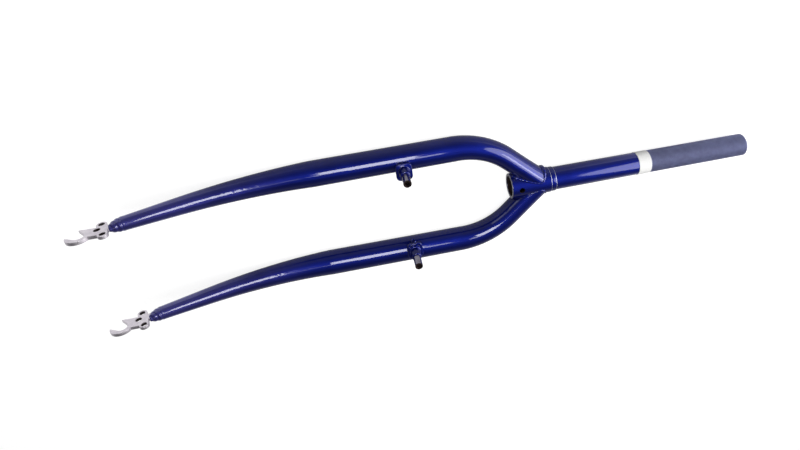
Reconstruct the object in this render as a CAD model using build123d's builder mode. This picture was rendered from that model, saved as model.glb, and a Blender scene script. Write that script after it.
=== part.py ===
from math import cos, degrees, radians, sin, tan
import os

from build123d import *

os.makedirs("parts", exist_ok=True)

# Frame: +X runs up the steerer, +Y to the rider's right, +Z forward; the fork lies on its back.
# The origin is on the steerer axis at the shoulder that carries the crown race.

# Steerer: one-inch butted tube with a race seat, a thicker root and a relief groove below its thread
STEER_D = 25.4
STEER_BORE = 22.2
STEER_TOP = 239.0
RELIEF_D = 24.4
RELIEF_LEN = 1.5
SEAT_D = 27.0
SEAT_LEN = 5.5
ROOT_D = 28.0
ROOT_LEN = 44.5
STEER_EDGE = 0.6
BRAKE_HOLE_D = 6.2
BRAKE_HOLE_X = -34.0

# Paper band wrapped round the steerer where the paint ends
BAND_X = 103.5
BAND_LEN = 14.5
BAND_THICK = 0.3

# Blades: round tubes bent in at the crown, straight to the rake, then tapered and curved forward
BLADE_D = 26.4
BLADE_WALL = 1.4
BLADE_TIP_D = 13.4
BEND_FLAT = 0.91
BEND_R = 82.0
BEND_ANGLE = 42.0
BEND_X = -102.0
BEND_Y = 55.7
RAKE_X = -245.0
RAKE_R = 400.0
RAKE_ANGLE = 17.5
TOE_LEN = 42.0
CROWN_BEAD = 2.0
BEAD_RISE = 0.5
BEAD_ROUND = 1.2

# Dropouts: forged plates for a 100 mm hub and a 9 mm axle
HUB_WIDTH = 100.0
PLATE_THICK = 3.5
TOE_DROP = 33.46
TOE_RISE = 12.36
AXLE_SLOT = 9.2
SLOT_ANGLE = 47.5
HOOK_ANGLE = 27.0
HOOK_R = 9.9
HOOK_SHIFT = 0.8
LOBE_R = 4.3
EYELET_D = 5.0
REAR_EYE = (-15.0, 13.8)
FRONT_EYE = (2.5, 19.8)
MID_HOLE = (-6.0, 12.8)
MID_HOLE_D = 5.4
PRONG_A = -10.4
WEB_A = 3.2
PLATE_EDGE = 0.5
TANG_WIDTH = 8.0
TANG_LEN = 40.0
TIP_WELD_LEN = 12.5
TIP_WELD_FALL = 0.42
TIP_RIPPLE = 0.25

# Brake bosses: painted base, stamped spring plate and a bare pivot stud
BOSS_X = -156.0
BOSS_Y = 48.8
BOSS_LEN = 16.5
BOSS_WIDTH = 17.0
BOSS_CORNER = 4.5
BOSS_FOOT_Z = 7.0
BOSS_TOP_Z = 15.5
SPRING_PLATE = 2.4
SPRING_LAP = 1.8
SPRING_HOLE_D = 2.8
SPRING_PITCH = 4.6
SPRING_REACH = 7.6
SPRING_EDGE = 0.6
COLLAR_D = 11.0
COLLAR_TOP_D = 9.6
COLLAR_LEN = 6.5
STUD_D = 8.0
STUD_TIP_Z = 44.3
STUD_SEAT = 5.0
SPIGOT_D = 7.0
STUD_EDGE = 0.6
STUD_THREAD_D = 5.0
STUD_THREAD_LEN = 16.0
LUG_R = 2.9
LUG_PROUD = 1.8
LUG_TILT = 27.0

# Values that follow from the sizes above
BAND_END = BAND_X + BAND_LEN
RAKE_RAD = radians(RAKE_ANGLE)
AXLE_X = RAKE_X - RAKE_R * sin(RAKE_RAD) - TOE_LEN * cos(RAKE_RAD) - TOE_DROP
AXLE_Z = RAKE_R * (1 - cos(RAKE_RAD)) + TOE_LEN * sin(RAKE_RAD) + TOE_RISE
PLATE_Y = HUB_WIDTH / 2
PLATE_MID_Y = PLATE_Y + PLATE_THICK / 2
PLATE_TOP_Z = BOSS_TOP_Z + SPRING_PLATE
COLLAR_TOP_Z = PLATE_TOP_Z + COLLAR_LEN
LEAN = (BEND_Y - PLATE_MID_Y) / (BEND_X - AXLE_X)
LEAN_DEG = degrees(LEAN)
ARM_Y = BEND_Y - BEND_R * (cos(LEAN) - cos(radians(BEND_ANGLE)))
ARM_X = BEND_X + BEND_R * (sin(radians(BEND_ANGLE)) + sin(LEAN))
ARM_ROOT_X = ARM_X + ARM_Y / tan(radians(BEND_ANGLE))

# Blade centre line, from the steerer axis out round the crown bend and down to the toe
with BuildLine(Plane.XY) as crown_line:
    arm = Line((ARM_ROOT_X, 0), (ARM_X, ARM_Y))
    bend = JernArc(arm @ 1, arm % 1, BEND_R, BEND_ANGLE + LEAN_DEG)
    leg = Line(bend @ 1, (bend @ 1) + (bend % 1) * ((BEND_X - RAKE_X) / cos(LEAN)))

rake_plane = Plane(origin=leg @ 1, x_dir=leg % 1, z_dir=(leg % 1).cross(Vector(0, 0, 1)))
with BuildLine(rake_plane) as rake_line:
    curve = JernArc((0, 0), (1, 0), RAKE_R, RAKE_ANGLE)
    toe = Line(curve @ 1, (curve @ 1) + (curve % 1) * TOE_LEN)

crown_path = Wire([arm, bend])
rake_path = Wire([curve, toe])
arm_plane = Plane(origin=arm @ 0, x_dir=(0, 0, 1), z_dir=arm % 0)
bend_plane = Plane(origin=bend @ 0.4, x_dir=(0, 0, 1), z_dir=bend % 0.4)
leg_plane = Plane(origin=leg @ 0, x_dir=(0, 0, 1), z_dir=leg % 0)
rake_top_plane = Plane(origin=leg @ 1, x_dir=(0, 0, 1), z_dir=leg % 1)
toe_plane = Plane(origin=toe @ 1, x_dir=(0, 0, 1), z_dir=toe % 1)
toe_axis = Axis(toe @ 1, toe % 1)
plate_plane = Plane(origin=(AXLE_X, PLATE_Y, AXLE_Z), x_dir=(0, 0, 1), z_dir=(0, 1, 0))

# Steerer tube, turned in one piece with its root, race seat, relief groove and thread blank
with BuildPart() as steerer_tube:
    with BuildSketch(Plane.XY):
        with BuildLine():
            Polyline(
                (-ROOT_LEN, STEER_BORE / 2),
                (-ROOT_LEN, ROOT_D / 2),
                (0, ROOT_D / 2),
                (0, SEAT_D / 2),
                (SEAT_LEN, SEAT_D / 2),
                (SEAT_LEN, STEER_D / 2),
                (BAND_END - RELIEF_LEN, STEER_D / 2),
                (BAND_END - RELIEF_LEN, RELIEF_D / 2),
                (BAND_END, RELIEF_D / 2),
                (BAND_END, STEER_D / 2),
                (STEER_TOP, STEER_D / 2),
                (STEER_TOP, STEER_BORE / 2),
                close=True,
            )
        make_face()
    revolve(axis=Axis.X)
    chamfer(steerer_tube.faces().sort_by(Axis.X)[-1].edges(), STEER_EDGE)
    fillet(steerer_tube.faces().sort_by(Axis.X)[0].edges(), STEER_EDGE)
    with Locations((BRAKE_HOLE_X, 0, 0)):
        Cylinder(BRAKE_HOLE_D / 2, 2 * ROOT_D, mode=Mode.SUBTRACT)

# Paper band round the steerer
with BuildPart() as paper_band:
    with BuildSketch(Plane.YZ.offset(BAND_X)):
        Circle(STEER_D / 2 + BAND_THICK)
        Circle(STEER_D / 2, mode=Mode.SUBTRACT)
    extrude(amount=BAND_LEN)

# Right blade as a solid form and as the hollow inside it
blade_forms = []
for inset in (0, BLADE_WALL):
    with BuildPart() as form:
        with BuildSketch(arm_plane) as root_section:
            Ellipse(BLADE_D / 2 - inset, BEND_FLAT * BLADE_D / 2 - inset)
        with BuildSketch(bend_plane) as bend_section:
            Ellipse(BLADE_D / 2 - inset, BEND_FLAT * BLADE_D / 2 - inset)
        with BuildSketch(leg_plane) as leg_section:
            Circle(BLADE_D / 2 - inset)
        with BuildSketch(rake_top_plane) as rake_section:
            Circle(BLADE_D / 2 - inset)
        with BuildSketch(toe_plane) as toe_section:
            Circle(BLADE_TIP_D / 2 - inset)
        crown_sections = [root_section.sketch, bend_section.sketch, leg_section.sketch]
        sweep(crown_sections, crown_path, multisection=True)
        extrude(leg_section.sketch, amount=leg.length)
        sweep([rake_section.sketch, toe_section.sketch], rake_path, multisection=True)
    blade_forms.append(form.part)
blade_form, blade_hollow = blade_forms

# Right blade: hollow tube, mitred to sit on the side of the steerer root
with BuildPart() as right_blade:
    add(blade_form)
    add(blade_hollow, mode=Mode.SUBTRACT)
    with Locations((-ROOT_LEN / 2, 0, 0)):
        Cylinder(ROOT_D / 2, 4 * ROOT_LEN, rotation=(0, 90, 0), mode=Mode.SUBTRACT)

# Weld bead filling the corner between the blade and the steerer root
with BuildPart() as right_crown_weld:
    with BuildSketch(arm_plane):
        Ellipse(BLADE_D / 2 + BEAD_RISE, BEND_FLAT * BLADE_D / 2 + CROWN_BEAD)
    extrude(amount=arm.length)
    with Locations((-ROOT_LEN / 2, 0, 0)):
        Cylinder(ROOT_D / 2 + CROWN_BEAD, 4 * ROOT_LEN, rotation=(0, 90, 0), mode=Mode.INTERSECT)
        Cylinder(ROOT_D / 2, 4 * ROOT_LEN, rotation=(0, 90, 0), mode=Mode.SUBTRACT)
    add(blade_form, mode=Mode.SUBTRACT)
    fillet(right_crown_weld.edges().sort_by(SortBy.LENGTH)[-2], BEAD_ROUND)

# Dropout plate: two eyelet lobes, a web, and a disc cut away to the hook and the prong
slot_r = AXLE_SLOT / 2
slot_a, hook_a = radians(SLOT_ANGLE), radians(HOOK_ANGLE)
rear_wall = Vector(-slot_r * cos(slot_a), slot_r * sin(slot_a))
hook_wall = Vector(slot_r * cos(hook_a), -slot_r * sin(hook_a))
rear_mouth = rear_wall + Vector(-sin(slot_a), -cos(slot_a)) * 3 * HOOK_R
hook_mouth = hook_wall + Vector(-sin(hook_a), -cos(hook_a)) * 3 * HOOK_R
toe_spot = ((toe @ 1).Z - AXLE_Z, (toe @ 1).X - AXLE_X)
with BuildPart() as right_dropout:
    with BuildSketch(plate_plane):
        with Locations(REAR_EYE, FRONT_EYE):
            Circle(LOBE_R)
        make_hull()
        with Locations((-HOOK_SHIFT, -HOOK_SHIFT)):
            Circle(HOOK_R)
        with Locations((PRONG_A, 0)):
            Rectangle(WEB_A - PRONG_A, FRONT_EYE[1] - LOBE_R / 2, align=(Align.MIN, Align.MIN))
        with BuildLine():
            Polyline((0, 0), rear_wall, rear_mouth, hook_mouth, hook_wall, close=True)
        make_face(mode=Mode.SUBTRACT)
        Circle(slot_r, mode=Mode.SUBTRACT)
        with Locations(Location(toe_spot, RAKE_ANGLE)):
            Rectangle(TANG_WIDTH, TANG_LEN)
        with Locations(REAR_EYE, FRONT_EYE):
            Circle(EYELET_D / 2, mode=Mode.SUBTRACT)
        with Locations(MID_HOLE):
            Circle(MID_HOLE_D / 2, mode=Mode.SUBTRACT)
    extrude(amount=PLATE_THICK)
    faces = right_dropout.faces().sort_by(Axis.Y)
    fillet(faces[0].edges() + faces[-1].edges(), PLATE_EDGE)

# Domed weld closing the blade tip round the plate
with BuildPart() as right_tip_weld:
    with BuildSketch(Plane(origin=toe @ 1, x_dir=toe % 1, z_dir=rake_plane.z_dir)):
        with BuildLine():
            Line((0, 0), (0, BLADE_TIP_D / 2))
            for i in range(3):
                step = TIP_WELD_LEN / 3
                r0 = BLADE_TIP_D / 2 - TIP_WELD_FALL * i * i
                r1 = BLADE_TIP_D / 2 - TIP_WELD_FALL * (i + 1) ** 2
                mid = ((i + 0.5) * step, (r0 + r1) / 2 + TIP_RIPPLE * (i + 1))
                ThreePointArc((i * step, r0), mid, ((i + 1) * step, r1))
            Line((TIP_WELD_LEN, r1), (TIP_WELD_LEN, 0))
            Line((TIP_WELD_LEN, 0), (0, 0))
        make_face()
    revolve(axis=toe_axis)
    add(right_dropout.part, mode=Mode.SUBTRACT)

# Brake boss base with its collar, coped to the front of the blade
blade_y = BEND_Y - LEAN * (BEND_X - BOSS_X)
lug_plane = Plane(
    origin=(BOSS_X, blade_y, 0),
    x_dir=(1, 0, 0),
    z_dir=(0, -cos(radians(LUG_TILT)), sin(radians(LUG_TILT))),
)
with BuildPart() as right_boss_base:
    with BuildSketch(Plane.XY.offset(BOSS_FOOT_Z)):
        with Locations((BOSS_X, BOSS_Y)):
            RectangleRounded(BOSS_LEN, BOSS_WIDTH, BOSS_CORNER)
    extrude(amount=BOSS_TOP_Z - BOSS_FOOT_Z)
    with BuildSketch(lug_plane.offset(BLADE_D / 4)):
        Circle(LUG_R)
    extrude(amount=BLADE_D / 4 + LUG_PROUD)
    with BuildSketch(lug_plane.offset(BLADE_D / 2 + LUG_PROUD / 2)):
        Circle(LUG_R / 2)
    extrude(amount=LUG_PROUD, mode=Mode.SUBTRACT)
    with BuildSketch(Plane.XY.offset(BOSS_TOP_Z)):
        with Locations((BOSS_X, BOSS_Y)):
            Circle(COLLAR_D / 2)
    extrude(amount=SPRING_PLATE)
    with Locations((BOSS_X, BOSS_Y, PLATE_TOP_Z)):
        Cone(COLLAR_D / 2, COLLAR_TOP_D / 2, COLLAR_LEN, align=(Align.CENTER, Align.CENTER, Align.MIN))
    with Locations((BOSS_X, BOSS_Y, COLLAR_TOP_Z)):
        Cylinder(SPIGOT_D / 2, 2 * STUD_SEAT, mode=Mode.SUBTRACT)
    add(blade_form, mode=Mode.SUBTRACT)

# Stamped spring plate over the collar, with three spring holes on the wheel side
with BuildPart() as right_spring_plate:
    with BuildSketch(Plane.XY.offset(BOSS_TOP_Z)):
        with Locations((BOSS_X, BOSS_Y - SPRING_LAP / 2)):
            RectangleRounded(BOSS_LEN, BOSS_WIDTH + SPRING_LAP, BOSS_CORNER)
        with Locations((BOSS_X, BOSS_Y)):
            Circle(COLLAR_D / 2, mode=Mode.SUBTRACT)
        with Locations((BOSS_X, BOSS_Y - SPRING_REACH)):
            with GridLocations(SPRING_PITCH, 1, 3, 1):
                Circle(SPRING_HOLE_D / 2, mode=Mode.SUBTRACT)
    extrude(amount=SPRING_PLATE)
    plate_top = right_spring_plate.faces().sort_by(Axis.Z)[-1]
    fillet(plate_top.outer_wire().edges(), SPRING_EDGE)

# Pivot stud let into the collar by a spigot, with a tapped end
with BuildPart() as right_pivot_stud:
    with Locations((BOSS_X, BOSS_Y, COLLAR_TOP_Z)):
        Cylinder(SPIGOT_D / 2, STUD_SEAT, align=(Align.CENTER, Align.CENTER, Align.MAX))
        Cylinder(
            STUD_D / 2,
            STUD_TIP_Z - COLLAR_TOP_Z,
            align=(Align.CENTER, Align.CENTER, Align.MIN),
        )
    chamfer(right_pivot_stud.faces().sort_by(Axis.Z)[-1].edges(), STUD_EDGE)
    with Locations((BOSS_X, BOSS_Y, STUD_TIP_Z)):
        Cylinder(STUD_THREAD_D / 2, 2 * STUD_THREAD_LEN, mode=Mode.SUBTRACT)

# Left side mirrored from the right, then every piece exported
pieces = {"steerer_tube": steerer_tube.part, "paper_band": paper_band.part}
right_side = {
    "blade": right_blade,
    "crown_weld": right_crown_weld,
    "dropout": right_dropout,
    "tip_weld": right_tip_weld,
    "boss_base": right_boss_base,
    "spring_plate": right_spring_plate,
    "pivot_stud": right_pivot_stud,
}
for name, piece in right_side.items():
    with BuildPart() as left_piece:
        mirror(piece.part, about=Plane.XZ)
    pieces["right_" + name] = piece.part
    pieces["left_" + name] = left_piece.part

for name, piece in pieces.items():
    piece.label = name
    export_step(piece, "parts/" + name + ".step")
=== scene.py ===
from math import cos, pi, radians, sin, sqrt, tau

import bmesh
import bpy
from mathutils import Matrix, Vector, noise


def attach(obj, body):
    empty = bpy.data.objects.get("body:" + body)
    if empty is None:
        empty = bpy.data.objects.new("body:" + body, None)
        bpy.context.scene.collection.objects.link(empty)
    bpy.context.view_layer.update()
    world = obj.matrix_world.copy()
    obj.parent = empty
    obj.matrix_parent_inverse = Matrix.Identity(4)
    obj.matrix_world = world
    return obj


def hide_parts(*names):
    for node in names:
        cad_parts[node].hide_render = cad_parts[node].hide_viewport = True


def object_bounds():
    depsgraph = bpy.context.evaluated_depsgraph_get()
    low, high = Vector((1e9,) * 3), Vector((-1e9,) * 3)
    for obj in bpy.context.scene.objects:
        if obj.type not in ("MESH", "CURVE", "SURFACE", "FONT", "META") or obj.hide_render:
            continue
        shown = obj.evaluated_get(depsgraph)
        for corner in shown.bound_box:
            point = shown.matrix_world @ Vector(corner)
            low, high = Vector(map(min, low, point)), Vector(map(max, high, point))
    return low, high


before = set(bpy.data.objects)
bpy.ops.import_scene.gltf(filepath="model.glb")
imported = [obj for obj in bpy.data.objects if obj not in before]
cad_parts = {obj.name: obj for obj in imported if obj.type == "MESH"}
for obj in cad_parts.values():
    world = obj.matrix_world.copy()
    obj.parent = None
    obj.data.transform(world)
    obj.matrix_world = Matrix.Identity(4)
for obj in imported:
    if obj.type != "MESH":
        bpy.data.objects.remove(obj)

cad_box = [list(corner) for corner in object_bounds()]


# Steerer tube: a one-inch steel tube, turned at its foot to a race seat and a thicker root.
# It is sprayed blue up to the paper band; above it is bare, with a true helical thread of
# 24 turns to the inch. The two end faces are bare too; the bore is bare steel coloured
# near-black as painted shade.
class Tone:
    """A shader socket: arithmetic on it adds Math nodes to its material."""

    def __init__(self, tree, socket=None):
        self.tree = tree
        self.socket = socket

    def node(self, kind, settings=(), inputs=(), output=0):
        """Adds a node with its settings and sockets, and gives one of its outputs."""
        made = self.tree.nodes.new(kind)
        for name, value in dict(settings).items():
            setattr(made, name, value)
        for name, value in dict(inputs).items():
            if isinstance(value, Tone):
                self.tree.links.new(value.socket, made.inputs[name])
            else:
                made.inputs[name].default_value = value
        return Tone(self.tree, made.outputs[output] if made.outputs else None)

    def maths(self, operation, first, second):
        return self.node("ShaderNodeMath", {"operation": operation}, {0: first, 1: second})

    def __add__(self, other):
        return self.maths("ADD", self, other)

    def __radd__(self, other):
        return self.maths("ADD", other, self)

    def __sub__(self, other):
        return self.maths("SUBTRACT", self, other)

    def __rsub__(self, other):
        return self.maths("SUBTRACT", other, self)

    def __mul__(self, other):
        return self.maths("MULTIPLY", self, other)

    def __rmul__(self, other):
        return self.maths("MULTIPLY", other, self)

    def blend(self, under, over):
        """The colour under where this tone is 0, over where it is 1."""
        return self.node("ShaderNodeMix", {"data_type": "RGBA"}, {0: self, 6: under, 7: over}, 2)

    def noise(self, scale, detail=3.0, roughness=0.5):
        """Cloudy noise over a place, about scale waves to the metre."""
        sockets = {"Vector": self, "Scale": scale, "Detail": detail, "Roughness": roughness}
        return self.node("ShaderNodeTexNoise", inputs=sockets)

    def part(self, axis):
        """One coordinate of a place: 0, 1 or 2."""
        return self.node("ShaderNodeSeparateXYZ", inputs={0: self}, output=axis)

    def rise(self, start, full):
        """0 at start, 1 at full and straight between."""
        return self.node("ShaderNodeMapRange", inputs={0: self, 1: start, 2: full, 3: 0.0, 4: 1.0})

    def bump(self, strength, height):
        sockets = {"Height": self, "Strength": strength, "Distance": height}
        return self.node("ShaderNodeBump", inputs=sockets)


def start_finish(name):
    """A new material, its place in the frame as a Tone, and its surface shader."""
    finish = bpy.data.materials.new(name)
    finish.use_nodes = True
    tree = finish.node_tree
    place = Tone(tree).node("ShaderNodeTexCoord", output="Object")
    return finish, place, tree.nodes["Principled BSDF"]


def feed(shader, **sockets):
    """Links a Tone to, or sets a number or colour on, each named socket of the shader."""
    for name, value in sockets.items():
        socket = shader.inputs[name.replace("_", " ")]
        if isinstance(value, Tone):
            value.tree.links.new(value.socket, socket)
        else:
            socket.default_value = value


PAINT_BLUE = (0.0052, 0.0120, 0.180, 1)
PAINT_DEEP = (0.0045, 0.0096, 0.146, 1)
PAINT_TINT = (0.15, 0.2, 0.6, 1)
PAINT_CLOUDS = 34.0
GLOSS_PATCHES = 120.0
PEEL_DIMPLES = 260.0
PEEL_STRENGTH = 0.004
PEEL_HEIGHT = 0.0004
DUST_GREY = (0.10, 0.11, 0.20, 1)
DUST_SPECKS = 900.0
DUST_PATCHES = 60.0
DUST_SHARE = 0.35
# Painted light: towards the toes the paint is blended to a paler, less metallic tone, a haze of
# light.
PAINTED_HAZE_PALE = (0.150, 0.125, 0.280, 1)
PAINTED_HAZE_START = -0.26
PAINTED_HAZE_FULL = -0.42
PAINTED_HAZE_SHARE = 0.32


def gloss_paint(name):
    """Deep metallic blue under a clear coat, with faint orange peel, dust and a painted light haze
    on the toes.
    """
    finish, place, shader = start_finish(name)
    cloud = place.noise(PAINT_CLOUDS).rise(0.35, 0.65)
    specks = place.noise(DUST_SPECKS, 1.0).rise(0.74, 0.80)
    dust = specks * place.noise(DUST_PATCHES).rise(0.50, 0.68)
    # Painted haze of light: paler and less metallic towards the toes.
    painted_haze = place.part(0).rise(PAINTED_HAZE_START, PAINTED_HAZE_FULL) * (0.75 + 0.25 * cloud)
    peel = place.noise(PEEL_DIMPLES, 1.0)
    paint = (PAINTED_HAZE_SHARE * painted_haze).blend(cloud.blend(PAINT_DEEP, PAINT_BLUE), PAINTED_HAZE_PALE)
    feed(
        shader,
        Base_Color=(DUST_SHARE * dust).blend(paint, DUST_GREY),
        Metallic=0.92 - 0.30 * painted_haze,
        Roughness=0.48 + 0.10 * place.noise(GLOSS_PATCHES),
        Specular_IOR_Level=0.0,
        Specular_Tint=PAINT_TINT,
        Coat_Weight=1.0,
        Coat_Roughness=0.07,
        Normal=peel.bump(PEEL_STRENGTH, PEEL_HEIGHT),
    )
    return finish


STEEL_CLOUDS = 160.0
STEEL_GRAIN = 1500.0
GRAIN_ROUGH = 0.16
GRAIN_STRENGTH = 0.10
GRAIN_HEIGHT = 0.0002


def steel_texture(place):
    """The soft clouds and the fine grain of bare steel."""
    return place.noise(STEEL_CLOUDS, 4.0).rise(0.3, 0.7), place.noise(STEEL_GRAIN, 3.0)


def bare_steel(name, dark, pale, metal, rough):
    """Bare steel: two tones in soft clouds under a fine grain."""
    finish, place, shader = start_finish(name)
    cloud, grain = steel_texture(place)
    feed(
        shader,
        Base_Color=cloud.blend(dark, pale),
        Metallic=metal,
        Roughness=rough + GRAIN_ROUGH * grain,
        Specular_IOR_Level=0.5 * metal,
        Normal=grain.bump(GRAIN_STRENGTH, GRAIN_HEIGHT),
    )
    return finish


THREAD_GREY = (0.225, 0.245, 0.40, 1)
THREAD_DARK = (0.185, 0.195, 0.32, 1)
# Bores and the studs' tips get near-black steel: painted shade, with a faint rust tint.
BORE_PAINTED_SHADE = (0.012, 0.009, 0.010, 1)
BORE_RUST_AND_SHADE = (0.034, 0.022, 0.020, 1)
EDGE_PALE = (0.62, 0.62, 0.66, 1)
EDGE_GREY = (0.42, 0.42, 0.48, 1)
blue_paint = gloss_paint("blue_enamel")
bare_thread = bare_steel("bare_thread_steel", THREAD_DARK, THREAD_GREY, metal=0.6, rough=0.60)
bore_shade_steel = bare_steel("bore_shade_steel", BORE_PAINTED_SHADE, BORE_RUST_AND_SHADE, metal=0.1, rough=0.75)
edge_steel = bare_steel("edge_steel", EDGE_GREY, EDGE_PALE, metal=1.0, rough=0.3)

STEER_R = 0.0127
BORE_R = 0.0111
BORE_SKIN = 0.00001
ROOT_R = 0.0140
ROOT_END = -0.0445
SEAT_R = 0.0135
SEAT_TOP = 0.0055
STEER_TOP = 0.2390
EDGE = 0.0006
SHOULDER = 0.00045
BAND_TOP = 0.1180
RELIEF_R = 0.0122
RELIEF_LEN = 0.0015
THREAD_PITCH = 0.0254 / 24
THREAD_DEPTH = 0.00062
THREAD_FORM = [(0.0, 1.0), (0.125, 1.0), (0.48, 0.0), (0.645, 0.0)]
SPOKES = 96
CORNER_STEPS = 4
MERGE = 1e-7
SHARP = radians(35)


def quarter(steps):
    """The angles of a quarter turn in equal steps."""
    return [0.5 * pi * i / steps for i in range(steps + 1)]


def rounded(corner, start, end, radius):
    """Points that round a right-angled corner of an outline, from start's side to end's."""
    corner, start, end = Vector(corner), Vector(start), Vector(end)
    back = (start - corner).normalized() * radius
    on = (end - corner).normalized() * radius
    centre = corner + back + on
    return [centre - on * cos(a) - back * sin(a) for a in quarter(CORNER_STEPS)]


def on_axis(axis, along, radius, angle):
    """A point at a radius and an angle round an axis, given as origin, direction and side."""
    origin, way, side = axis
    return origin + along * way + radius * (cos(angle) * side + sin(angle) * way.cross(side))


def turned(axis, outline, spokes=SPOKES):
    """Rings of points from an outline of (along, radius) points turned round an axis."""
    angles = [tau * i / spokes for i in range(spokes)]
    return [[on_axis(axis, along, radius, a) for a in angles] for along, radius in outline]


def skin(shape, rings, ends=False):
    """Adds the surface through closed rings of points, capped at both ends if wanted."""
    rings = [[shape.verts.new(point) for point in ring] for ring in rings]
    for low, high in zip(rings, rings[1:]):
        for i in range(len(low)):
            j = (i + 1) % len(low)
            shape.faces.new((low[i], low[j], high[j], high[i]))
    if ends:
        shape.faces.new(rings[0])
        shape.faces.new(rings[-1])
    return rings


def wound_thread(shape, axis, low, high, pitch, crest, depth):
    """Adds a thread as one strip of root, flank, crest and flank, faded at both ends.

    The depth goes from the crest's radius to the root's: below zero on a pin.
    """
    rows = []
    for n in range(-SPOKES, (int((high - low) / pitch) + 2) * SPOKES):
        row = []
        for phase, sunk in THREAD_FORM:
            along = min(max(low + (n / SPOKES + phase) * pitch, low), high)
            fade = min(1.0, (along - low) / pitch, (high - along) / pitch)
            point = on_axis(axis, along, crest + depth * sunk * fade, tau * n / SPOKES)
            row.append(shape.verts.new(point))
        rows.append(row)
    for n in range(len(rows) - 1):
        near, far = rows[n], rows[n + 1]
        for c in range(len(THREAD_FORM) - 1):
            shape.faces.new((near[c], far[c], far[c + 1], near[c + 1]))
        if n + 1 + SPOKES < len(rows):
            shape.faces.new((near[-1], far[-1], rows[n + 1 + SPOKES][0], rows[n + SPOKES][0]))


def close_seams(shape):
    """Joins points that lie on each other, and drops the faces that this leaves empty."""
    bmesh.ops.remove_doubles(shape, verts=shape.verts, dist=MERGE)
    bmesh.ops.dissolve_degenerate(shape, edges=shape.edges, dist=MERGE)


def choose_finishes(shape, finishes, finish_at):
    """Gives each face the finish that finish_at names for its middle."""
    for face in shape.faces:
        face.material_index = finishes.index(finish_at(face.calc_center_median()))


def finished_mesh(name, shape, finishes):
    """A mesh object from a bmesh, smooth but for its sharp edges."""
    mesh = bpy.data.meshes.new(name)
    bmesh.ops.recalc_face_normals(shape, faces=shape.faces)
    shape.to_mesh(mesh)
    shape.free()
    mesh.shade_smooth()
    mesh.set_sharp_from_angle(angle=SHARP)
    for finish in finishes:
        mesh.materials.append(finish)
    piece = bpy.data.objects.new(name, mesh)
    bpy.context.collection.objects.link(piece)
    return piece


relief = BAND_TOP - RELIEF_LEN


def steerer_finish(spot):
    """The finish at a spot on the steerer: edges at the foot, root and seat are bright, the bore
    is painted shade.
    """
    radius = sqrt(spot.y**2 + spot.z**2)
    root_edge = -SHOULDER < spot.x < 0 and radius > SEAT_R
    seat_edge = SEAT_TOP - SHOULDER < spot.x < SEAT_TOP and radius > STEER_R
    if radius < BORE_R + BORE_SKIN:
        return bore_shade_steel
    if spot.x > relief:
        return bare_thread
    if root_edge or seat_edge or spot.x < ROOT_END + EDGE / 2:
        return edge_steel
    return blue_paint


foot = [(ROOT_END, BORE_R), (ROOT_END, ROOT_R), (0, ROOT_R), (0, SEAT_R)]
seat = [(SEAT_TOP, SEAT_R), (SEAT_TOP, STEER_R)]
outside = [
    *rounded(foot[0], (0, BORE_R), foot[1], EDGE),
    *rounded(foot[1], foot[0], foot[2], EDGE),
    (ROOT_END + 2 * EDGE, ROOT_R),
    (-2 * SHOULDER, ROOT_R),
    *rounded(foot[2], foot[1], foot[3], SHOULDER),
    foot[3],
    *rounded(seat[0], foot[3], seat[1], SHOULDER),
    seat[1],
    (relief, STEER_R),
    (relief, RELIEF_R),
    (BAND_TOP, RELIEF_R),
    (BAND_TOP, STEER_R),
]
thread_end = STEER_TOP - EDGE
top_and_bore = [
    (thread_end, STEER_R),
    (STEER_TOP, STEER_R - EDGE),
    (STEER_TOP, BORE_R + EDGE),
    (thread_end, BORE_R),
    (0, BORE_R),
    tuple(outside[0]),
]
steer_axis = (Vector((0, 0, 0)), Vector((1, 0, 0)), Vector((0, 1, 0)))
tube = bmesh.new()
skin(tube, turned(steer_axis, outside))
skin(tube, turned(steer_axis, top_and_bore))
wound_thread(tube, steer_axis, BAND_TOP, thread_end, THREAD_PITCH, STEER_R, -THREAD_DEPTH)
close_seams(tube)
steerer_finishes = [blue_paint, bare_thread, bore_shade_steel, edge_steel]
choose_finishes(tube, steerer_finishes, steerer_finish)
steerer = finished_mesh("steerer", tube, steerer_finishes)

# The drill carries the bore's finish, but the cut keeps slot numbers, so the hole's wall gets the
# blue paint.
# The drill is turned a little, to keep its edges off the tube's seams.
BRAKE_HOLE_R = 0.0031
BRAKE_HOLE_X = -0.0340
DRILL_LEN = 0.06
DRILL_TURN = radians(2.5)
DRILL_SPOKES = 48
drill = bmesh.new()
bmesh.ops.create_cone(
    drill,
    cap_ends=True,
    segments=DRILL_SPOKES,
    radius1=BRAKE_HOLE_R,
    radius2=BRAKE_HOLE_R,
    depth=DRILL_LEN,
)
drill_bit = finished_mesh("brake_drill", drill, [bore_shade_steel])
drill_bit.location = (BRAKE_HOLE_X, 0, 0)
drill_bit.rotation_euler = (0, 0, DRILL_TURN)
cut = steerer.modifiers.new("brake_hole", "BOOLEAN")
cut.operation = "DIFFERENCE"
cut.solver = "EXACT"
cut.object = drill_bit
bpy.context.view_layer.update()
ready = steerer.evaluated_get(bpy.context.evaluated_depsgraph_get())
drilled = bpy.data.meshes.new_from_object(ready)
drilled.set_sharp_from_angle(angle=SHARP)
steerer.modifiers.clear()
steerer.data = drilled
bpy.data.objects.remove(drill_bit)
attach(steerer, "root")
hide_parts("steerer_tube")


# Blades: two steel tubes, oval and bent in at the top, then raked and drawn down to a small toe.
# They are mitred on to the steerer's root and sprayed with the same blue enamel.
SIDES = {"right_": 1, "left_": -1}


def coat(node_name, finish):
    """Gives a node of the frame its finish."""
    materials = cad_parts[node_name].data.materials
    materials.clear()
    materials.append(finish)


for side in SIDES:
    coat(side + "blade", blue_paint)


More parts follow.
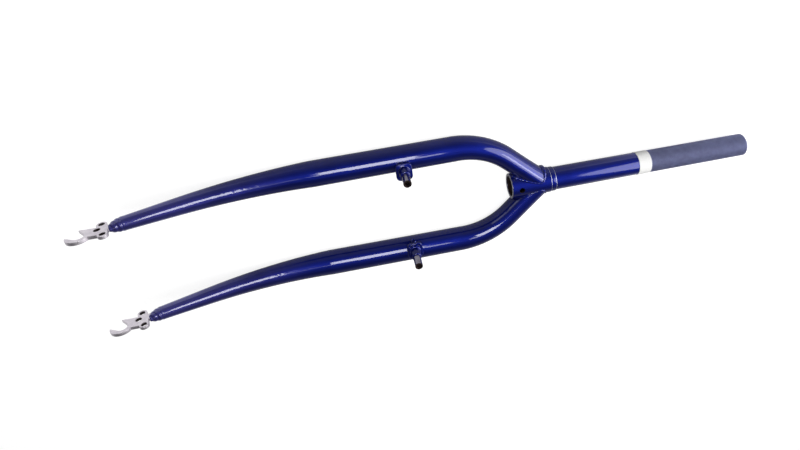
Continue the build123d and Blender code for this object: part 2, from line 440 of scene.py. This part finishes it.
# Crown welds: a bead laid round each blade where it is mitred on to the steerer's root.
# The right one is fat at the mitre's two ends and runs out on the blade at the upper one; the
# left is thin all round. Both were dressed before painting, so their ripples are faint.
ARM_ROOT_X = -0.007694
ARM_ANGLE = radians(42)
BLADE_R = 0.0132
BLADE_FLAT = 0.91
BEAD_THIN = 0.0010
BEAD_FAT = {1: 0.0034, -1: 0.0013}
BEAD_RUN = {1: 0.0024, -1: 0.0}
BEAD_SET = 0.00027
BEAD_SUNK = 0.45
BEAD_RIPPLE = 0.05
RIPPLE_PITCH = 0.0040
RIPPLE_WANDER = 0.35
WANDER_WAVES = 160
WANDER_ROW = 3.0
BEAD_STEPS = 280
BEAD_ROUND = 14


def mitre_point(turn, hand):
    """A point of the curve where the blade's oval meets the root, turn from the front."""
    across = BLADE_FLAT * BLADE_R * sin(turn)
    z = BLADE_R * cos(turn)
    y = sqrt(ROOT_R**2 - z**2)
    along = (y - across * cos(ARM_ANGLE)) / sin(ARM_ANGLE)
    x = ARM_ROOT_X - along * cos(ARM_ANGLE) + across * sin(ARM_ANGLE)
    return Vector((x, hand * y, z))


def weld_bead(name, hand):
    shape = bmesh.new()
    track = [mitre_point(tau * i / BEAD_STEPS, hand) for i in range(BEAD_STEPS)]
    blade_way = Vector((-cos(ARM_ANGLE), hand * sin(ARM_ANGLE), 0))
    angles = [tau * k / BEAD_ROUND for k in range(BEAD_ROUND)]
    travelled = 0.0
    rings = []
    for i, point in enumerate(track):
        ahead = (track[(i + 1) % BEAD_STEPS] - track[i - 1]).normalized()
        travelled += (point - track[i - 1]).length
        out = Vector((0, point.y, point.z)).normalized()
        side_way = ahead.cross(out).normalized()
        out = side_way.cross(ahead)
        swing = sin(tau * i / BEAD_STEPS)
        size = BEAD_THIN + (BEAD_FAT[hand] - BEAD_THIN) * swing**2
        point = point - (BEAD_SET + BEAD_SUNK * (size - BEAD_THIN)) * out
        point = point + BEAD_RUN[hand] * max(0.0, swing) ** 2 * blade_way
        wave = Vector((travelled * WANDER_WAVES, hand * WANDER_ROW, 0))
        phase = travelled / RIPPLE_PITCH + RIPPLE_WANDER * noise.noise(wave)
        size *= 1 + BEAD_RIPPLE * cos(tau * phase)
        rings.append([point + size * (cos(a) * out + sin(a) * side_way) for a in angles])
    skin(shape, rings + rings[:1])
    close_seams(shape)
    return finished_mesh(name, shape, [blue_paint])


for side, hand in SIDES.items():
    bead = weld_bead(side + "crown_bead", hand)
    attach(bead, "root")
    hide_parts(side + "crown_weld")


# Tip welds: the toe of each blade is closed round the dropout's tang by a domed weld.
# It is dressed smooth, rounds off more at the back than at the front, and keeps faint ripples.
TOE_END = Vector((-0.40533, 0.05214, 0.03114))
TOE_WAY = Vector((-0.9537, -0.0112, 0.3007)).normalized()
TOE_R = 0.0067
CAP_LEN = 0.0125
CAP_FALL = 0.82
CAP_LEAN = 0.5
CAP_RINGS = 40
CAP_RIPPLE = 0.00018
CAP_PITCH = 0.0040
CAP_SLANT = 0.7
CAP_SMOOTH = 0.25


def tip_cap(name, hand):
    shape = bmesh.new()
    front = Vector((-TOE_WAY.z * TOE_WAY.x, 0, 1 - TOE_WAY.z**2)).normalized()
    side_way = TOE_WAY.cross(front)
    rings = []
    for k in range(CAP_RINGS + 1):
        share = k / CAP_RINGS
        along = CAP_LEN * share
        radius = TOE_R * sqrt(1 - CAP_FALL * share**2)
        centre = TOE_END + along * TOE_WAY + CAP_LEAN * (TOE_R - radius) * front
        ripple = CAP_RIPPLE * min(1.0, share / CAP_SMOOTH)
        ring = []
        for i in range(SPOKES):
            angle = tau * i / SPOKES
            slant = along + CAP_SLANT * TOE_R * cos(angle)
            swell = radius + ripple * cos(tau * slant / CAP_PITCH)
            spot = centre + swell * (cos(angle) * front + sin(angle) * side_way)
            ring.append((spot.x, hand * spot.y, spot.z))
        rings.append(ring)
    skin(shape, rings, ends=True)
    return finished_mesh(name, shape, [blue_paint])


for side, hand in SIDES.items():
    cap = tip_cap(side + "tip_cap", hand)
    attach(cap, "root")
    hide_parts(side + "tip_weld")


# Brake boss bases: forged steel, waisted and brazed to the blade's front, painted with it.
# Each has a tapered collar for the stud, a small ringed lug beside it on the wheel side,
# and low pips that close the spring plate's holes from below.
BOSS_X = -0.1560
BOSS_Y = 0.0488
BOSS_FOOT = 0.0070
BOSS_TOP = 0.0155
BOSS_LEN = 0.0165
BOSS_WIDTH = 0.0170
BOSS_CORNER = 0.0045
BOSS_WAIST = 0.68
BOSS_RINGS = 12
FOOT_SHIFT = 0.0028
OBLONG_STEPS = 8
OVERLAP = 0.0010
PLATE_TOP = 0.0179
COLLAR_R = 0.0055
COLLAR_TOP_R = 0.0050
COLLAR_TOP = 0.0283
COLLAR_EDGE = 0.0008
COLLAR_FILLET = 0.0010
COLLAR_MOUTH = 0.0035
COLLAR_SPOKES = 64
COVE_STEPS = 5
LUG_Y = 0.05507
LUG_TILT = radians(27)
LUG_R = 0.0029
LUG_START = 0.0080
LUG_END = 0.0150
LUG_RIM = 0.0009
LUG_LIP = 0.0006
LUG_HOLE = 0.0012
LUG_HOLE_DEEP = 0.0012
LUG_SPOKES = 40
SPRING_HOLE_R = 0.0014
SPRING_PITCH = 0.0046
SPRING_REACH = 0.0076
HOLE_SPOKES = 32
PIP_R = 1.04 * SPRING_HOLE_R
PIP_RISE = 0.0010


def oblong(length, width, corner, inset=0.0):
    """Points round an oblong with rounded corners, set in by an inset."""
    points = []
    for turn, (x, y) in enumerate(((1, 1), (-1, 1), (-1, -1), (1, -1))):
        centre = Vector((x * (length / 2 - corner), y * (width / 2 - corner)))
        for step in quarter(OBLONG_STEPS):
            angle = 0.5 * pi * turn + step
            points.append(centre + (corner - inset) * Vector((cos(angle), sin(angle))))
    return points


def upright(x, y):
    """An axis straight up at a place."""
    return Vector((x, y, 0)), Vector((0, 0, 1)), Vector((1, 0, 0))


def spring_holes(hand):
    """The axes of the plate's three holes."""
    y = hand * (BOSS_Y - SPRING_REACH)
    return [upright(BOSS_X + step * SPRING_PITCH, y) for step in (-1, 0, 1)]


def boss_base(name, hand):
    shape = bmesh.new()
    section = oblong(BOSS_LEN, BOSS_WIDTH, BOSS_CORNER)
    rings = []
    for k in range(BOSS_RINGS + 1):
        share = k / BOSS_RINGS
        size = BOSS_WAIST + (1 - BOSS_WAIST) * share**3
        y = BOSS_Y + FOOT_SHIFT * (1 - share**3)
        z = BOSS_FOOT + (BOSS_TOP - BOSS_FOOT) * share
        rings.append([(BOSS_X + size * p.x, hand * (y + size * p.y), z) for p in section])
    skin(shape, rings, ends=True)

    top, foot, fillet = COLLAR_TOP, PLATE_TOP, COLLAR_FILLET
    arc = quarter(COVE_STEPS)
    collar = [
        (BOSS_TOP - OVERLAP, COLLAR_R + fillet),
        *[(foot + fillet * (1 - cos(a)), COLLAR_R + fillet * (1 - sin(a))) for a in arc],
        *rounded((top, COLLAR_TOP_R), (foot, COLLAR_TOP_R), (top, 0), COLLAR_EDGE),
        (top, COLLAR_MOUTH),
    ]
    skin(shape, turned(upright(BOSS_X, hand * BOSS_Y), collar, COLLAR_SPOKES), ends=True)

    way = Vector((0, -hand * cos(LUG_TILT), sin(LUG_TILT)))
    lug_axis = (Vector((BOSS_X, hand * LUG_Y, 0)), way, Vector((1, 0, 0)))
    lug = [
        (LUG_START, LUG_R),
        *rounded((LUG_END, LUG_R), (0, LUG_R), (LUG_END, 0), LUG_RIM),
        *rounded((LUG_END, LUG_HOLE), (LUG_END, LUG_R), (0, LUG_HOLE), LUG_LIP),
        (LUG_END - LUG_HOLE_DEEP, LUG_HOLE),
    ]
    skin(shape, turned(lug_axis, lug, LUG_SPOKES), ends=True)

    pip = [(BOSS_TOP - OVERLAP, PIP_R), (BOSS_TOP + PIP_RISE, PIP_R)]
    for axis in spring_holes(hand):
        skin(shape, turned(axis, pip, HOLE_SPOKES), ends=True)
    return finished_mesh(name, shape, [blue_paint])


for side, hand in SIDES.items():
    base = boss_base(side + "boss", hand)
    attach(base, "root")
    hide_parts(side + "boss_base")


# Spring plates: stamped steel over the collar, rounded at the edge and painted with the boss.
# The three holes on the wheel side take the end of the brake's spring; their rims are rounded.
PLATE_LAP = 0.0018
PLATE_EDGE = 0.0007
PLATE_DROP = 0.0014
HOLE_EDGE = 0.0003
BEND_STEPS = 4


def spring_plate(name, hand):
    shape = bmesh.new()
    arc = quarter(BEND_STEPS)
    bends = [(PLATE_EDGE * (1 - cos(a)), PLATE_TOP - PLATE_DROP * (1 - sin(a))) for a in arc]
    middle = BOSS_Y - PLATE_LAP / 2
    rings = []
    for inset, z in [(0, BOSS_TOP), *bends]:
        section = oblong(BOSS_LEN, BOSS_WIDTH + PLATE_LAP, BOSS_CORNER, inset)
        rings.append([(BOSS_X + p.x, hand * (middle + p.y), z) for p in section])
    walls = [skin(shape, rings)]
    lip = [(PLATE_TOP - HOLE_EDGE * (1 - sin(a)), HOLE_EDGE * (1 - cos(a))) for a in arc]
    hole = [(BOSS_TOP, SPRING_HOLE_R)] + [(z, SPRING_HOLE_R + out) for z, out in lip]
    walls += [skin(shape, turned(axis, hole, HOLE_SPOKES)) for axis in spring_holes(hand)]
    for level in (0, -1):
        edges = []
        for wall in walls:
            loop = wall[level]
            edges += [shape.edges.get(pair) for pair in zip(loop, loop[1:] + loop[:1])]
        bmesh.ops.triangle_fill(shape, use_beauty=True, edges=edges, normal=(0, 0, 1))
    return finished_mesh(name, shape, [blue_paint])


for side, hand in SIDES.items():
    plate = spring_plate(side + "stamped_plate", hand)
    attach(plate, "root")
    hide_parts(side + "spring_plate")


# Dropouts: forged and tumbled steel plates, each held in its blade's toe by a tang. They are
# left bare, with a dull satin grain. Their three holes, and a thin ring round each, are coloured
# near-black as painted shade: two tapped eyelets and a plain hole between them.
STEEL_PALE = (0.62, 0.585, 0.63, 1)
STEEL_GREY = (0.50, 0.47, 0.52, 1)
HOLE_PAINTED_SHADE = (0.030, 0.020, 0.022, 1)
HOLE_FADE = 1.04
DROPOUT_HOLES = [
    (-0.4250, 0.0285, 0.00252),
    (-0.4190, 0.0460, 0.00252),
    (-0.4260, 0.0375, 0.00272),
]


def dropout_steel(name):
    finish, place, shader = start_finish(name)
    # Painted shade: each hole is coloured near-black and non-metal, fading out just past its rim.
    painted_hole_shade = 0.0
    for hole_x, hole_z, radius in DROPOUT_HOLES:
        off_x = place.part(0) - hole_x
        off_z = place.part(2) - hole_z
        apart = off_x * off_x + off_z * off_z
        painted_hole_shade = painted_hole_shade + apart.rise((HOLE_FADE * radius) ** 2, radius**2)
    cloud, grain = steel_texture(place)
    feed(
        shader,
        Base_Color=painted_hole_shade.blend(cloud.blend(STEEL_GREY, STEEL_PALE), HOLE_PAINTED_SHADE),
        Metallic=0.85 - 0.85 * painted_hole_shade,
        Roughness=0.38 + GRAIN_ROUGH * grain,
        Normal=grain.bump(GRAIN_STRENGTH, GRAIN_HEIGHT),
    )
    return finish


dropout_finish = dropout_steel("dropout_steel")
for side in SIDES:
    coat(side + "dropout", dropout_finish)


# Pivot studs: turned steel pins, pressed into the collar and tapped at the end.
# A sleeve masked the end when the fork was sprayed, so the lower part is blue and the rest bare.
STUD_PALE = (0.50, 0.48, 0.57, 1)
STUD_GREY = (0.27, 0.25, 0.34, 1)
STUD_R = 0.0040
STUD_TIP = 0.0443
STUD_EDGE = 0.0006
STUD_PAINTED = 0.0305
TAP_R = 0.0025
TAP_MOUTH = 0.0031
TAP_END = 0.0283
TAP_POINT = 0.0015
TAP_POINT_R = 0.0004
TAP_PITCH = 0.0010
TAP_DEPTH = 0.0005
THREADED = 0.0100
stud_steel = bare_steel("stud_steel", STUD_GREY, STUD_PALE, metal=1.0, rough=0.06)


def pivot_stud(name, hand):
    shape = bmesh.new()
    axis = upright(BOSS_X, hand * BOSS_Y)
    mouth = STUD_TIP - (TAP_MOUTH - TAP_R)
    outer = [
        (COLLAR_TOP - OVERLAP, STUD_R),
        (STUD_PAINTED, STUD_R),
        (STUD_TIP - STUD_EDGE, STUD_R),
        (STUD_TIP, STUD_R - STUD_EDGE),
        (STUD_TIP, TAP_MOUTH),
        (mouth, TAP_R),
    ]
    inner = [(mouth - THREADED, TAP_R), (TAP_END, TAP_R), (TAP_END - TAP_POINT, TAP_POINT_R)]
    shape.faces.new(skin(shape, turned(axis, outer))[0])
    shape.faces.new(skin(shape, turned(axis, inner))[-1])
    wound_thread(shape, axis, mouth - THREADED, mouth, TAP_PITCH, TAP_R, TAP_DEPTH)
    close_seams(shape)

    # The tapped hole, the tip's face and its chamfer get the near-black bore finish: painted
    # shade.
    def stud_finish(spot):
        if (spot - axis[0]).xy.length < TAP_MOUTH or spot.z > STUD_TIP - STUD_EDGE:
            return bore_shade_steel
        return blue_paint if spot.z < STUD_PAINTED else stud_steel

    finishes = [stud_steel, blue_paint, bore_shade_steel]
    choose_finishes(shape, finishes, stud_finish)
    return finished_mesh(name, shape, finishes)


for side, hand in SIDES.items():
    stud = pivot_stud(side + "stud", hand)
    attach(stud, "root")
    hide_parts(side + "pivot_stud")


# Paper band: a strip of plain white paper, wrapped once round the steerer where the paint ends.
# Its surface is dull, with a faint mottle of fibres.
PAPER_WHITE = (0.70, 0.70, 0.69, 1)
PAPER_SHADE = (0.64, 0.64, 0.63, 1)
PAPER_FIBRES = 900.0
FIBRE_STRENGTH = 0.2
FIBRE_HEIGHT = 0.0002


def plain_paper(name):
    finish, place, shader = start_finish(name)
    fibre = place.noise(PAPER_FIBRES, 5.0, 0.7)
    feed(
        shader,
        Base_Color=fibre.rise(0.35, 0.6).blend(PAPER_SHADE, PAPER_WHITE),
        Roughness=0.8 + 0.1 * fibre,
        Normal=fibre.bump(FIBRE_STRENGTH, FIBRE_HEIGHT),
    )
    return finish


coat("paper_band", plain_paper("white_band_paper"))


# Table: a plain pale sheet under the fork, white to the eye, with the fork's soft shadow on it.
# The gloss paint mirrors it as a dim sheet with a painted glow, brighter beyond both ends of the
# fork.
WHITE = (1, 1, 1, 1)
TABLE_SIZE = 6.0
TABLE_GREY = (0.32, 0.32, 0.32, 1)
TABLE_SHOWN = 0.84
TABLE_MIRRORED = 0.07
TOE_END_PAINTED_GLOW = 0.95
TOE_END_FROM, TOE_END_FULL = -0.33, -0.41
FAR_END_PAINTED_GLOW = 0.80
FAR_END_FROM, FAR_END_FULL = 0.06, 0.20


def blank_nodes(owner):
    """Empties the node tree of a material or a world, for a Tone to fill."""
    owner.use_nodes = True
    owner.node_tree.nodes.clear()
    return Tone(owner.node_tree)


def ray_kind(blank, kind):
    """1 for a ray of the kind named, and 0 for another."""
    return blank.node("ShaderNodeLightPath", output=kind)


bpy.ops.mesh.primitive_plane_add(size=TABLE_SIZE, location=(0, 0, cad_box[0][2]))
table = bpy.context.object
table.name = "table"
table_white = bpy.data.materials.new("table_white")
blank = blank_nodes(table_white)
along = blank.node("ShaderNodeTexCoord", output="Object").part(0)
# Painted reflection: the sheet glows in the gloss only, more towards the toes and the steerer's
# end.
mirrored = TABLE_MIRRORED + TOE_END_PAINTED_GLOW * along.rise(TOE_END_FROM, TOE_END_FULL)
mirrored = mirrored + FAR_END_PAINTED_GLOW * along.rise(FAR_END_FROM, FAR_END_FULL)
seen = ray_kind(blank, "Is Camera Ray") * TABLE_SHOWN
seen = blank.maths("MAXIMUM", seen, ray_kind(blank, "Is Glossy Ray") * mirrored)
seen = blank.maths("MAXIMUM", seen, ray_kind(blank, "Is Transmission Ray") * mirrored)
sheet = blank.node("ShaderNodeBsdfDiffuse", inputs={"Color": TABLE_GREY})
glow = blank.node("ShaderNodeEmission", inputs={"Color": WHITE, "Strength": seen})
lit = blank.node("ShaderNodeAddShader", inputs={0: sheet, 1: glow})
blank.node("ShaderNodeOutputMaterial", inputs={"Surface": lit})
table.data.materials.append(table_white)


# Light: soft boxes above the blades and at the side, a large panel beyond the steerer, and a
# dim room all round. The room is white to the eye; in the gloss its walls are brighter near
# the table than overhead.
LAMPS = [
    # name, outline, place, what it is aimed at, width, height, power
    ("top_light", "RECTANGLE", (-0.1695, 0.21, 0.73), (-0.1695, 0, 0), 0.160, 0.32, 2.027),
    ("top_end", "RECTANGLE", (-0.282, 0.235, 0.73), (-0.282, 0, 0), 0.065, 0.27, 0.695),
    ("top_spill", "RECTANGLE", (-0.058, 0.09, 0.73), (-0.058, 0, 0), 0.060, 0.14, 0.15),
    ("top_strip", "RECTANGLE", (-0.345, 0.06, 0.73), (-0.345, 0, 0), 0.075, 0.02, 0.03),
    ("side_light", "RECTANGLE", (-0.79, 0.72, 0.30), (-0.25, 0, 0.02), 0.50, 0.30, 0.6),
    ("end_panel", "ELLIPSE", (0.70, 0.10, 0.475), (0.17, 0.10, 0.02), 1.10, 1.05, 11.4),
    ("panel_core", "ELLIPSE", (0.62, 0.06, 0.66), (0, 0, 0), 0.40, 0.20, 1.5),
]
ROOM_LIGHT = 0.08
ROOM_MIRRORED = 0.05
WALLS_MIRRORED = 0.30
WALLS_TOP, WALLS_FULL = 0.65, 0.10

for name, outline, place, aim, width, height, power in LAMPS:
    lamp = bpy.data.lights.new(name, "AREA")
    lamp.shape = outline
    lamp.size = width
    lamp.size_y = height
    lamp.energy = power
    box = bpy.data.objects.new(name, lamp)
    box.location = place
    box.rotation_euler = (Vector(aim) - Vector(place)).to_track_quat("-Z", "Y").to_euler()
    bpy.context.collection.objects.link(box)

world = bpy.data.worlds.new("pale_room")
bpy.context.scene.world = world
blank = blank_nodes(world)
shown = ray_kind(blank, "Is Camera Ray")
gloss = ray_kind(blank, "Is Glossy Ray") + ray_kind(blank, "Is Transmission Ray")
elevation = blank.node("ShaderNodeTexCoord", output="Generated").part(2)
walls = (WALLS_MIRRORED - ROOM_MIRRORED) * elevation.rise(WALLS_TOP, WALLS_FULL)
strength = ROOM_LIGHT + (1 - ROOM_LIGHT) * shown
strength = strength + (walls + (ROOM_MIRRORED - ROOM_LIGHT)) * gloss
room = blank.node("ShaderNodeBackground", inputs={"Color": WHITE, "Strength": strength})
blank.node("ShaderNodeOutputWorld", inputs={"Surface": room})


# Camera: above the fork's front, with the picture's upper edge towards the right blade.
# The lens is shifted, because the picture's frame lies off the middle of the view.
CAMERA_PLACE = Vector((-0.18488, 0.30692, 0.50357))
CAMERA_AIM = Vector((-0.08349, 0.03179, 0.0))
UP_ANGLE = radians(86.07)
PICTURE_UP = Vector((cos(UP_ANGLE), sin(UP_ANGLE), 0))
LENS_MM = 25.008
SENSOR_MM = 36.0
SHIFT_ACROSS = -0.0908
SHIFT_UP = -0.0732
NEAREST = 0.01
lens = bpy.data.cameras.new("camera")
lens.lens = LENS_MM
lens.sensor_width = SENSOR_MM
lens.shift_x = SHIFT_ACROSS
lens.shift_y = SHIFT_UP
lens.clip_start = NEAREST
camera = bpy.data.objects.new("camera", lens)
bpy.context.collection.objects.link(camera)
view = (CAMERA_AIM - CAMERA_PLACE).normalized()
across = view.cross(PICTURE_UP).normalized()
turn = Matrix((across, across.cross(view), -view)).transposed()
camera.matrix_world = Matrix.Translation(CAMERA_PLACE) @ turn.to_4x4()
bpy.context.scene.camera = camera
bpy.context.scene.view_settings.view_transform = "Standard"
